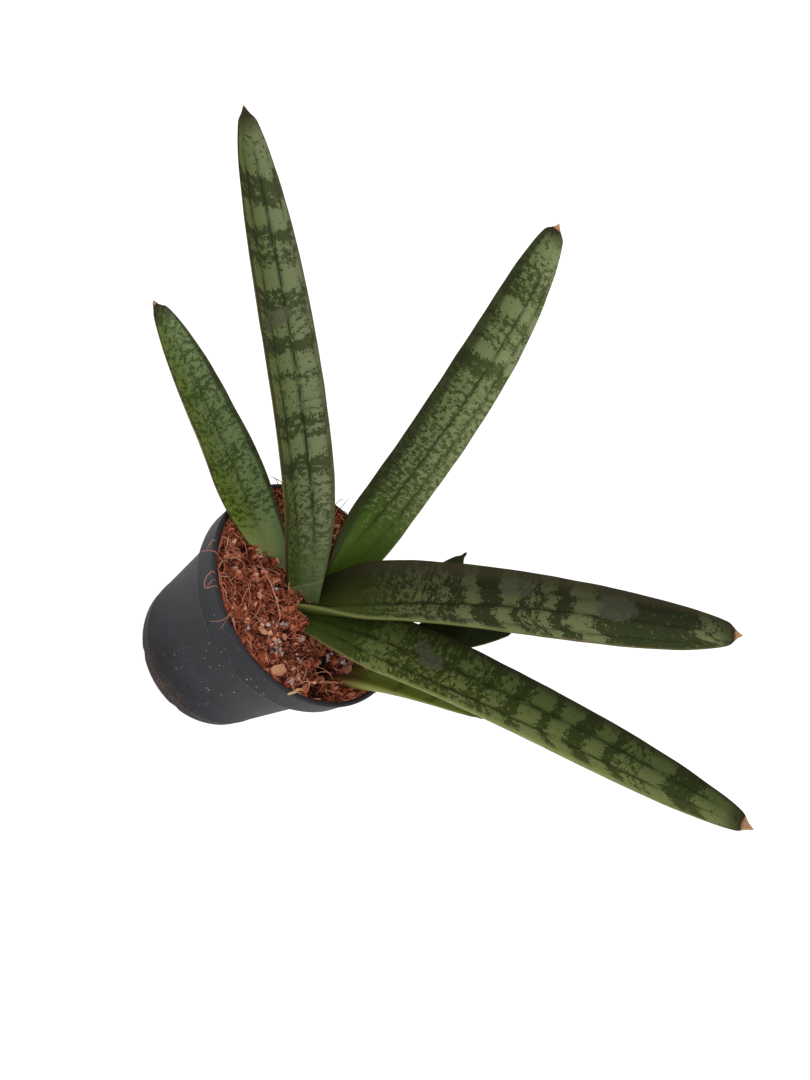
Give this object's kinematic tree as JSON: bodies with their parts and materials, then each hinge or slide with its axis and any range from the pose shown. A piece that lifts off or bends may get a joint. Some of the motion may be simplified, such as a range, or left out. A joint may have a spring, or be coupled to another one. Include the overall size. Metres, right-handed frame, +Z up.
{
  "type": "potted snake plant",
  "caption": "Young banded snake plant with spreading, channelled, pointed leaves and a small offset, rooted in coconut coir in a thin round nursery pot with a flared collar.",
  "frame": {"origin": "centre of the pot's flat underside, which it stands on", "axes": "+Z up along the pot's axis; +X towards the side where the longest right-hand leaf leans, the plant's widest direction; +Y to the back, away from the picture's camera"},
  "size_m": [0.316, 0.1406, 0.2308],
  "materials": {
    "pot_plastic": "thin moulded black plastic with a soft sheen, dust and scuffs",
    "coir": "damp reddish-brown coconut fibre and chips",
    "rhizome_flesh": "matt cream to orange underground stem",
    "leaf": "waxy green with dark and pale cross-bands, dark long lines and brown margins"
  },
  "bodies": {
    "root": {"pot": "pot_plastic", "potting_mix": "coir", "rhizome": "rhizome_flesh", "leaf_back_upright": "leaf", "leaf_left_long": "leaf", "leaf_right_back": "leaf", "leaf_left_short": "leaf", "leaf_right_front": "leaf", "leaf_right_lowest": "leaf", "offset_leaf_left": "leaf", "offset_leaf_right": "leaf"}
  },
  "joints": []
}
